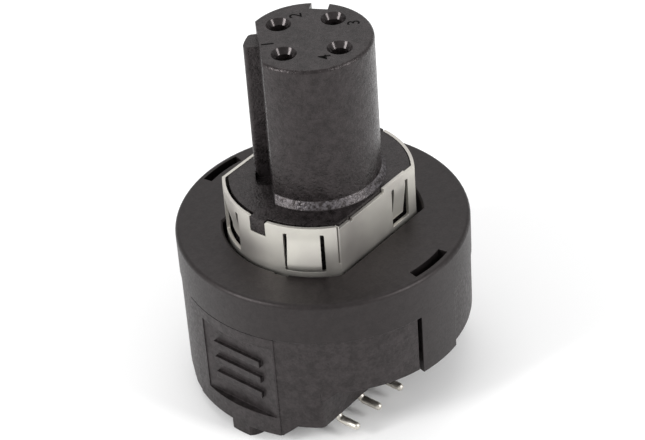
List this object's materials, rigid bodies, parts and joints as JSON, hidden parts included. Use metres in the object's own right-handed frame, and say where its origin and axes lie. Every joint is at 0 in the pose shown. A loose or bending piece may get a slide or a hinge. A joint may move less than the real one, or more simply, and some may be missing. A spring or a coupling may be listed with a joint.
{
  "type": "circular board connector",
  "caption": "Round board-mounted circular connector: keyed post with funnel contacts, metal shield band with spring tabs, clipped cover and gull-wing leads.",
  "frame": {"origin": "on the mating post's axis, in the plane of the circuit board that the skirt and leads stand on", "axes": "+Z is the mating direction out of the post; X runs along the two flats of the shield band, with the label panel on -X"},
  "size_m": [0.0198, 0.0198, 0.0263],
  "materials": {
    "housing_plastic": "satin moulded",
    "insert_plastic": "fine grain, glass filled",
    "shield_sheet": "satin nickel",
    "contact_gold": "polished",
    "tinned_wire": "tinned",
    "board": "satin",
    "ferrite": "dull",
    "copper_wire": "enamelled",
    "ceramic": "satin",
    "chip": "gloss"
  },
  "bodies": {
    "connector": {"contact_carrier": "insert_plastic", "shield_band": "shield_sheet", "top_cover": "housing_plastic", "base_housing": "housing_plastic", "inner_board": "board", "line_capacitor": "ceramic", "line_resistors": "chip", "lead_bar_front": "insert_plastic", "lead_bar_back": "insert_plastic", "socket_contact_1": "contact_gold", "socket_contact_2": "contact_gold", "socket_contact_3": "contact_gold", "socket_contact_4": "contact_gold", "lead_1": "tinned_wire", "lead_2": "tinned_wire", "lead_3": "tinned_wire", "lead_4": "tinned_wire", "lead_5": "tinned_wire", "lead_6": "tinned_wire", "transformer_core_1": "ferrite", "transformer_winding_1": "copper_wire", "choke_core_1": "ferrite", "choke_winding_1": "copper_wire", "transformer_core_2": "ferrite", "transformer_winding_2": "copper_wire", "choke_core_2": "ferrite", "choke_winding_2": "copper_wire"},
    "round_tab_1": {"round_tab_1": "shield_sheet"},
    "round_tab_2": {"round_tab_2": "shield_sheet"},
    "round_tab_3": {"round_tab_3": "shield_sheet"},
    "round_tab_4": {"round_tab_4": "shield_sheet"},
    "flat_tab_1": {"flat_tab_1": "shield_sheet"},
    "flat_tab_2": {"flat_tab_2": "shield_sheet"}
  },
  "joints": [
    {"name": "round_tab_1_flex", "type": "hinge", "parent": "connector", "child": "round_tab_1", "pos_m": [-0.00554, -0.00308, 0.0143], "axis": [0.4924, -0.8704, 0], "range_deg": [-2, 8], "stiffness_Nm_per_rad": 0.02},
    {"name": "round_tab_2_flex", "type": "hinge", "parent": "connector", "child": "round_tab_2", "pos_m": [-0.00554, 0.00308, 0.0143], "axis": [-0.4924, -0.8704, 0], "range_deg": [-10, 2], "stiffness_Nm_per_rad": 0.02},
    {"name": "round_tab_3_flex", "type": "hinge", "parent": "connector", "child": "round_tab_3", "pos_m": [0.00534, 0.00308, 0.0143], "axis": [-0.4924, 0.8704, 0], "range_deg": [-2, 8], "stiffness_Nm_per_rad": 0.02},
    {"name": "round_tab_4_flex", "type": "hinge", "parent": "connector", "child": "round_tab_4", "pos_m": [0.00534, -0.00308, 0.0143], "axis": [0.4924, 0.8704, 0], "range_deg": [-10, 2], "stiffness_Nm_per_rad": 0.02},
    {"name": "flat_tab_1_flex", "type": "hinge", "parent": "connector", "child": "flat_tab_1", "pos_m": [0.00225, -0.00481, 0.0143], "axis": [1, 0, 0], "range_deg": [-7, 2], "stiffness_Nm_per_rad": 0.02},
    {"name": "flat_tab_2_flex", "type": "hinge", "parent": "connector", "child": "flat_tab_2", "pos_m": [-0.00225, 0.00481, 0.0143], "axis": [-1, 0, 0], "range_deg": [-7, 2], "stiffness_Nm_per_rad": 0.02}
  ]
}
